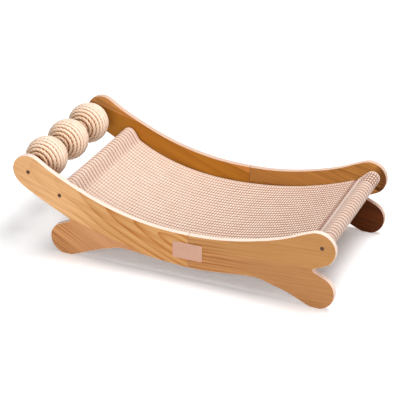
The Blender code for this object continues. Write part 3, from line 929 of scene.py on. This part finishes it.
def offset_along(add, travel, at_head, at_foot):
    """A value that eases from the head end's to the foot end's along the sheet."""
    return add("ShaderNodeMapRange",
               {"Value": travel, "From Min": HEAD_PART, "From Max": FOOT_PART,
                "To Min": at_head, "To Max": at_foot})


print("the colour changes between", round(HEAD_PART / MM), "and", round(FOOT_PART / MM), "mm")

# %% [markdown]
# ## Colouring the weave
#
# Woven sisal is cream on its nubs and brown where the ties show in the hollows.
# Its hairs fray this border, which noise does here. The far corner of the foot
# roll is darker and keeps its ties, and a pale hem runs along its groove, where
# brown dots are painted shade. The sheet is painted lighter at the head and darker
# towards the foot, and both rolls darker, as painted light and shade. The colours
# are laid over each other like prints, each with its mask.

# %% Colour the weave
HAIR, FRAY = 1.5 * MM, 0.35
ROUNDNESS = 0.15
TIE_FADE = 0.20
DASHES = 0.18
SHEET_PAINTED_LIGHT, ROLL_PAINTED_SHADE = (0.08, -0.17), (-0.10, -0.12)
CORNER_START, CORNER_FULL, CORNER_DARKENING = 58 * MM, 46 * MM, -0.15
TIE_LEVEL, NUB_CROWN = 0.22, 0.66
BINDING_THREAD = 1.5 * MM
HEM_LINES = 5 * MM
HEM_RIB, HEM_PALE = 0.7, 0.35
DOT_FADE = -0.5
GROOVE_START = -8 * MM
SISAL_CLOUD = 30 * MM
HEAD_ROLL_SHADE = 0.5


def mat_material():
    """Woven sisal, with one mask for each of the colours laid over the brown ties."""
    material, add, shader, place = new_material("woven_sisal", 0.9)
    weave = add("ShaderNodeUVMap", uv_map="weave")
    parts = add("ShaderNodeSeparateXYZ", {0: weave}).outputs
    travel, across = parts["X"], parts["Y"]
    roll = add("ShaderNodeAttribute", attribute_name="on_roll").outputs["Fac"]
    past = add("ShaderNodeAttribute", attribute_name="past_groove").outputs["Fac"]
    rib = wave(add, across, RIB, pi / RIB * (MAT_WIDTH / 2 - BINDING))
    tie = wave(add, travel, ROW)
    # Towards the far corner of the foot roll the weave is darker.
    at_far_end = add("ShaderNodeMapRange",
                     {"Value": across, "From Min": MAT_WIDTH / 2 - CORNER_START,
                      "From Max": MAT_WIDTH / 2 - CORNER_FULL}, interpolation_type="SMOOTHSTEP")
    corner = add("ShaderNodeMath", (offset_along(add, travel, 0.0, 1.0), at_far_end),
                 operation="MULTIPLY")
    rolled_corner = add("ShaderNodeMath", (corner, roll), operation="MULTIPLY")
    smooth_roll = add("ShaderNodeMath", (roll, rolled_corner), operation="SUBTRACT")
    # How high the yarn stands, shifted by painted light and shade along the mat: together they part
    # nubs from ties.
    tie_lift = add("ShaderNodeMath", (smooth_roll, TIE_FADE, tie), operation="MULTIPLY_ADD")
    hollow = add("ShaderNodeMath", (rib, tie_lift, ROUNDNESS), operation="SMOOTH_MIN")
    fuzz = stretched_noise(add, place, HAIR, detail=4.0)
    frayed = add("ShaderNodeMath", (fuzz, FRAY, hollow), operation="MULTIPLY_ADD")
    painted_light_offset = add("ShaderNodeMix", {0: roll, 2: offset_along(add, travel, *SHEET_PAINTED_LIGHT),
                                 3: offset_along(add, travel, *ROLL_PAINTED_SHADE)})
    dashes = add("ShaderNodeMath", (tie, -DASHES, DASHES), operation="MULTIPLY_ADD")
    shifted_level = painted_light_offset
    for part, share in ((smooth_roll, dashes), (rolled_corner, CORNER_DARKENING), (frayed, 1.0)):
        shifted_level = add("ShaderNodeMath", (part, share, shifted_level), operation="MULTIPLY_ADD")
    crown = add("ShaderNodeMapRange",
                {"Value": shifted_level, "From Min": TIE_LEVEL, "From Max": NUB_CROWN},
                interpolation_type="SMOOTHSTEP")
    # Painted shade on both rolls, half strength at the head and full at the foot.
    painted_roll_shade = add("ShaderNodeMath", (smooth_roll, offset_along(add, travel, HEAD_ROLL_SHADE, 1.0)),
                  operation="MULTIPLY")
    off_middle = add("ShaderNodeMath", (across,), operation="ABSOLUTE")
    bound = add("ShaderNodeMath", (off_middle, MAT_WIDTH / 2 - BINDING), operation="GREATER_THAN")
    binding = add("ShaderNodeMix", {0: wave(add, travel, BINDING_THREAD),
                                    MIX_FROM: "#C9A48F", MIX_TO: "#F2DACA"}, data_type="RGBA")
    # The hem is ribbed across and lined along, and its groove is painted with shade, dotted between
    # the ribs.
    hem_rib = add("ShaderNodeMath", (rib, HEM_RIB, HEM_PALE), operation="MULTIPLY_ADD")
    hem_weave = add("ShaderNodeMath", (wave(add, past, HEM_LINES), hem_rib), operation="MULTIPLY")
    hem = add("ShaderNodeMix",
              {0: hem_weave, MIX_FROM: "#A0745E", MIX_TO: "#FFF2E9"}, data_type="RGBA")
    dotted = add("ShaderNodeMath", (rib, DOT_FADE, 1.0), operation="MULTIPLY_ADD")
    groove_shade = add("ShaderNodeMath", (band(add, past, GROOVE_START, BAND_EASE), dotted),
               operation="MULTIPLY")
    colour = "#784832"
    for mask, over, blend in (
            (crown, "#EED7C7", "MIX"),
            (stretched_noise(add, place, SISAL_CLOUD), "#F3E6DC", "MULTIPLY"),
            (painted_roll_shade, "#E6E1E0", "MULTIPLY"),
            (bound, binding, "MIX"),
            (band(add, past, BAND_EASE, HEM_WIDTH), hem, "MIX"),
            (groove_shade, "#80523D", "MIX")):
        colour = add("ShaderNodeMix", {0: mask, MIX_FROM: colour, MIX_TO: over},
                     data_type="RGBA", blend_type=blend)
    bump = add("ShaderNodeBump", {"Strength": 0.6, "Distance": 0.5 * MM, "Height": frayed})
    feed(shader, {"Base Color": colour, "Normal": bump, "Sheen Weight": 0.15})
    return material


mat.data.materials.append(mat_material())
smooth_by_angle(mat, 60)
dress(mat, "frame", "sisal_mat", "sisal_mat")
print("mat material:", len(mat.data.materials[0].node_tree.nodes), "nodes")

# %% [markdown]
# ## Stitches along the pockets
#
# A row of thread closes each pocket, pale at the head and brown at the foot. Each
# stitch is a tiny rounded bar that is pressed into the groove, because a printed
# line would not catch the light.

# %% Sew the two rows
STITCH_PITCH = 7 * MM
STITCH_LENGTH = 4.6 * MM
STITCH_RADIUS = 0.55 * MM
YARN_TWIST = 1.2 * MM


def stitch_row(name, meet, up, thread, light, dark):
    """A row of stitches across the mat, on top of the sheet."""
    x, z = path[nearest_on_path(meet, up)]
    count = int((MAT_WIDTH - 3 * BINDING) / STITCH_PITCH)
    first = -STITCH_PITCH * (count - 1) / 2
    stitches = []
    for number in range(count):
        bpy.ops.mesh.primitive_uv_sphere_add(
            segments=8, ring_count=6, radius=STITCH_RADIUS,
            location=(x, first + number * STITCH_PITCH, z),
            scale=(1.0, STITCH_LENGTH / 2 / STITCH_RADIUS, 1.0))
        stitches.append(bpy.context.object)
    for stitch in stitches:
        stitch.select_set(True)
    bpy.ops.object.join()
    row = bpy.context.object
    row.name = name
    bpy.ops.object.transform_apply()
    row.data.materials.append(plain_material(thread, 0.7, light, dark, YARN_TWIST))
    smooth_by_angle(row, 60)
    dress(row, "frame", "sisal_mat")
    print(name, "has", count, "stitches")
    return row


rows = [stitch_row("head_stitches", head_meet, head_up, "pale_thread", "#EBD3C4", "#D2B3A0"),
        stitch_row("foot_stitches", foot_meet, foot_up, "brown_thread", "#A98570", "#7A5644")]

# %% [markdown]
# ## Rope-wound balls
#
# Each ball is wound from pole to pole with one length of three-strand sisal
# rope. The winding is a curve whose bevel is a shallow three-lobed section, and
# the curve's tilt turns that section steadily along the rope, which lays the
# strands round each other as a rope walk does. The frame leaves a gap between the
# turns, but on the real ball they press together, so the rope is drawn a little
# thicker. Each point notes how far it stands out of the ball, so the grooves
# between the turns can be darker, partly dust and partly painted shade.

# %% Wind the rope
ROPE_RADIUS = 4.6 * MM
STRAND_DEPTH = 0.09
SECTION_CORNERS = 24
STRANDS = 3
LAY = 27 * MM
ROPE_TURNS = 12
# How far the first turn starts from the pole, in degrees
FIRST_TURN = 16.5
POINTS_PER_TURN = 96
BALL_RADIUS = 46.2 * MM
TUCK_TURNS, TUCK_DEPTH = 0.35, 6 * MM
# How much lighter the grooves are painted round each ball's middle, as light falling there
MIDDLE_PAINTED_LIGHT = 0.7
PHASE_STEP = 2.1


def strand_section():
    """The outline of three strands laid close, as a closed flat curve to bevel with."""
    section, spline, points = new_curve("strand_section", "2D", "POLY", SECTION_CORNERS)
    for number, point in enumerate(points):
        angle = 2 * pi * number / SECTION_CORNERS
        radius = ROPE_RADIUS * (1 - STRAND_DEPTH * abs(sin(STRANDS / 2 * angle)))
        point.co = (radius * cos(angle), radius * sin(angle), 0.0, 1.0)
    spline.use_cyclic_u = True
    return place_new("strand_section", section)


def winding(phase):
    """Points round a ball at the origin, with the distance run at each. Both ends of the
    rope are tucked into the ball."""
    count = ROPE_TURNS * POINTS_PER_TURN
    points, runs = [], [0.0]
    for number in range(count + 1):
        share = number / count
        polar = radians(FIRST_TURN + (180.0 - 2 * FIRST_TURN) * share)
        turn = 2 * pi * ROPE_TURNS * share + phase
        from_end = min(number, count - number) / POINTS_PER_TURN
        tucked = TUCK_DEPTH * max(0.0, 1.0 - from_end / TUCK_TURNS) ** 2
        radius = BALL_RADIUS - ROPE_RADIUS - tucked
        ring = radius * sin(polar)
        points.append(Vector((ring * cos(turn), -radius * cos(polar), ring * sin(turn))))
    for before, after in zip(points, points[1:]):
        runs.append(runs[-1] + (after - before).length)
    return points, runs


def mark_crests(rope, centre):
    """Note for each point how far it stands out of the ball: -1 inside, 1 on a crest.
    Round the middle the value is raised, a painted light that makes the grooves lighter there."""
    out = places_of(rope.data) - np.array(centre)
    reach = np.linalg.norm(out, axis=1)
    toward_middle = 1.0 - np.abs(out[:, 1]) / BALL_RADIUS
    crest = (reach - BALL_RADIUS + ROPE_RADIUS) / ROPE_RADIUS + MIDDLE_PAINTED_LIGHT * toward_middle
    mark(rope.data, "crest", crest)


def rope_ball(name, centre, phase, section):
    """One ball's rope as a mesh, and the rope's length."""
    places, runs = winding(phase)
    line, _, points = new_curve(name, "3D", "POLY", len(places))
    line.bevel_mode = "OBJECT"
    line.bevel_object = section
    line.use_fill_caps = True
    line.twist_mode = "MINIMUM"
    for point, place, run in zip(points, places, runs):
        point.co = (*(place + centre), 1.0)
        point.tilt = 2 * pi * run / LAY
    rope = place_new(name, line)
    bpy.ops.object.convert(target="MESH")
    mark_crests(rope, centre)
    print(name, round(runs[-1], 3), "m of rope,", len(rope.data.polygons), "faces")
    return rope, runs[-1]


section = strand_section()
axle_x, _, axle_z = middle_of("ball_axle")
ropes = {}
for number, side in enumerate(("near", "middle", "far")):
    centre = Vector((axle_x, middle_of(f"ball_{side}_core")[1], axle_z))
    ropes[side], rope_length = rope_ball(f"{side}_ball_rope", centre, PHASE_STEP * number, section)
bpy.data.objects.remove(section)

# %% [markdown]
# ## Colouring the rope
#
# Natural sisal is blond where it is clean and dry, and brown in the grooves
# between its turns, where more dust gets in; the brown there is also painted
# shade, as less light gets in. The colour runs from brown to blond with the height
# above the groove, and fibres that run along the rope break up that border. A ramp
# of four tones keeps the middle ones warm.

# %% Colour the rope
ROPE_FIBRE, FIBRE_BREAK = 1.4 * MM, 1.3
STRAND_BREAK = 0.30
ROPE_CLOUD = 16 * MM
GROOVE_LEVEL, CREST_LEVEL = 1.10, 2.10
# The darkest tones, in the grooves, stand for dust and painted shade.
SISAL_TONES = ((0.0, "#84502A"), (0.28, "#C4864E"), (0.6, "#E3C3A3"), (1.0, "#F8E4D4"))


def rope_material():
    """Three-strand sisal: blond on the crests, brown in the grooves between the turns."""
    material, add, shader, place = new_material("twisted_sisal_rope", 0.88)
    wound = add("ShaderNodeUVMap", uv_map="UVMap")
    metres = add("ShaderNodeMapping",
                 {"Vector": wound, "Scale": (rope_length, 2 * pi * ROPE_RADIUS, 1.0)})
    fibres = stretched_noise(add, metres, ROPE_FIBRE, (0.25, 1.0, 1.0), 4.0)
    around = add("ShaderNodeSeparateXYZ", {0: wound}).outputs["Y"]
    strands = wave(add, around, 1 / STRANDS, pi / 2)
    crest = add("ShaderNodeAttribute", attribute_name="crest").outputs["Fac"]
    raised = add("ShaderNodeMath", (strands, STRAND_BREAK, crest), operation="MULTIPLY_ADD")
    uneven = add("ShaderNodeMath", (fibres, FIBRE_BREAK, raised), operation="MULTIPLY_ADD")
    light = add("ShaderNodeMapRange",
                {"Value": uneven, "From Min": GROOVE_LEVEL, "From Max": CREST_LEVEL})
    ramp = add("ShaderNodeValToRGB", {"Fac": light})
    for _ in SISAL_TONES[2:]:
        ramp.color_ramp.elements.new(1.0)
    for element, (position, code) in zip(ramp.color_ramp.elements, SISAL_TONES):
        element.position = position
        element.color = linear(code)
    colour = add("ShaderNodeMix", {0: stretched_noise(add, place, ROPE_CLOUD), MIX_FROM: ramp,
                                   MIX_TO: "#F5EADD"}, data_type="RGBA", blend_type="MULTIPLY")
    bump = add("ShaderNodeBump", {"Strength": 0.7, "Distance": 0.4 * MM, "Height": fibres})
    feed(shader, {"Base Color": colour, "Normal": bump, "Specular IOR Level": 0.2})
    return material


rope_finish = rope_material()
for side, rope in ropes.items():
    rope.data.materials.append(rope_finish)
    smooth_by_angle(rope, 70)
    dress(rope, f"{side}_ball", "sisal_rope", f"ball_{side}_rope")
print("rope material:", len(rope_finish.node_tree.nodes), "nodes")

# %% [markdown]
# ## Finishes for the pieces that stay
#
# Rails, axle, screws, inserts, sleeves and ball cores are already their true
# shape in the frame, so they only take a finish: sanded wood with a fine
# straight grain, black-oxide steel, drawn steel with fine lines round it,
# turned brass, pale moulded nylon, and pressed fibre for the cores.

# %% Finish the frame's own pieces
BEECH_GRAIN = 1.5 * MM
# Real lathe marks are finer. They are drawn as coarse as they need to be to show.
LATHE_LINE = 0.6 * MM
SHINE_CHANGE = 0.1


def speckled_material(name, roughness, metallic, light, dark, speck):
    """A moulded or blackened surface: a faint cloud in its colour and in its shine."""
    material, add, shader, place = new_material(name, roughness, metallic)
    cloud = two_tone(add, shader, place, light, dark, speck)
    shifted_level = add("ShaderNodeMapRange", {"Value": cloud, "To Min": roughness - SHINE_CHANGE,
                                      "To Max": roughness + SHINE_CHANGE})
    feed(shader, {"Roughness": shifted_level})
    return material


def turned_material(name, roughness, light, dark):
    """Drawn or turned metal: fine lines round the Y axis, which every rod lies along."""
    material, add, shader, place = new_material(name, roughness, 1.0)
    lines = two_tone(add, shader, place, light, dark, LATHE_LINE, (0.05, 1.0, 0.05))
    bump = add("ShaderNodeBump", {"Strength": 0.2, "Distance": 0.05 * MM, "Height": lines})
    feed(shader, {"Normal": bump})
    return material


rod = plain_material("sanded_beech_rod", 0.55, "#E6C49A", "#BE9467", BEECH_GRAIN,
                     (1.0, 0.05, 1.0))
FINISHES = {
    "rail": rod,
    "dowel": rod,
    "insert": turned_material("turned_brass", 0.35, "#D9C08A", "#A8884C"),
    "axle": turned_material("drawn_steel", 0.3, "#D9D8D5", "#A9A8A6"),
    "screw": speckled_material("black_oxide_steel", 0.50, 0.3, "#6A412C", "#3C2418", 2 * MM),
    "spacer": speckled_material("moulded_nylon", 0.55, 0.0, "#EADFCB", "#D6C6AC", 6 * MM),
    "core": speckled_material("pressed_fibre_core", 0.85, 0.0, "#B48C5E", "#86633C", 3 * MM),
}
kept = {name: node for name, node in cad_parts.items() if not node.hide_render}
for name, node in kept.items():
    node.data.materials.clear()
    node.data.materials.append(FINISHES[name.split("_")[-1]])
print("finished", len(kept), "of the frame's own pieces")

# %% [markdown]
# ## Floor and light
#
# The portrait stands on a seamless white floor. A large soft light stands in front,
# a second one hangs above the foot end, so the shadow gathers under the bed and
# runs a little to the front left, and a white sky fills the rest. For rays from
# the camera the floor glows a little, and more far away where the lamps don't
# reach, so it reads as paper white but still takes the bed's soft shadow.

# %% Floor, lights and sky
FLOOR_SIZE = 12.0
FLOOR_GLOW, FAR_GLOW = 0.11, 0.75
GLOW_START, GLOW_END = 0.24, 1.3
SKY_STRENGTH = 0.26
WHITE = (1.0, 1.0, 1.0, 1.0)
LIGHT_AIM = Vector((0.0, 0.0, 0.1))
# Each light: its name, its place, the length of its side in metres, its power in watts
LIGHTS = (("key_light", (0.6, -2.9, 1.1), 1.6, 53.0),
          ("top_light", (0.6, 0.3, 2.2), 1.2, 51.0))


def seen_directly(tree):
    """1 for rays from the camera, a mirror or a pane, 0 for rays that light the scene."""
    rays = add_node(tree, "ShaderNodeLightPath").outputs
    either = add_node(tree, "ShaderNodeMath",
                      (rays["Is Camera Ray"], rays["Is Glossy Ray"]), operation="MAXIMUM")
    return add_node(tree, "ShaderNodeMath", (either, rays["Is Transmission Ray"]),
                    operation="MAXIMUM")


def floor_material():
    material, add, shader, place = new_material("white_studio_floor", 0.9)
    away = add("ShaderNodeVectorMath", (place,), operation="LENGTH")
    level = add("ShaderNodeMapRange",
                {"Value": away, "From Min": GLOW_START, "From Max": GLOW_END,
                 "To Min": FLOOR_GLOW, "To Max": FAR_GLOW})
    glow = add("ShaderNodeMath", (seen_directly(material.node_tree), level), operation="MULTIPLY")
    feed(shader, {"Base Color": "#F8F8F9", "Specular IOR Level": 0.0,
                  "Emission Color": WHITE, "Emission Strength": glow})
    return material


bpy.ops.mesh.primitive_plane_add(size=FLOOR_SIZE, location=(0.0, 0.0, 0.0))
floor = bpy.context.object
floor.name = "studio_floor"
floor.data.materials.append(floor_material())
floor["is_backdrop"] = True
for name, place, size, power in LIGHTS:
    aim = (LIGHT_AIM - Vector(place)).to_track_quat("-Z", "Y").to_euler()
    bpy.ops.object.light_add(type="AREA", location=place, rotation=aim)
    lamp = bpy.context.object
    lamp.name = name
    lamp.data.size = size
    lamp.data.energy = power
sky = bpy.data.worlds.new("white_sky")
bpy.context.scene.world = sky
sky.use_nodes = True
level = add_node(sky.node_tree, "ShaderNodeMapRange",
                 {"Value": seen_directly(sky.node_tree), "To Min": SKY_STRENGTH, "To Max": 1.0})
feed(sky.node_tree.nodes["Background"], {"Color": WHITE, "Strength": level})
bpy.context.scene.view_settings.view_transform = "Standard"
print("floor:", FLOOR_SIZE, "m, lights:", [light[0] for light in LIGHTS])

# %% [markdown]
# ## Sizes
#
# The dressed bed should stay as large as its frame; its size is printed here.

# %% Print the sizes and finish
low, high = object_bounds()
print("dressed:", [round(v / MM, 1) for v in high - low], "mm")
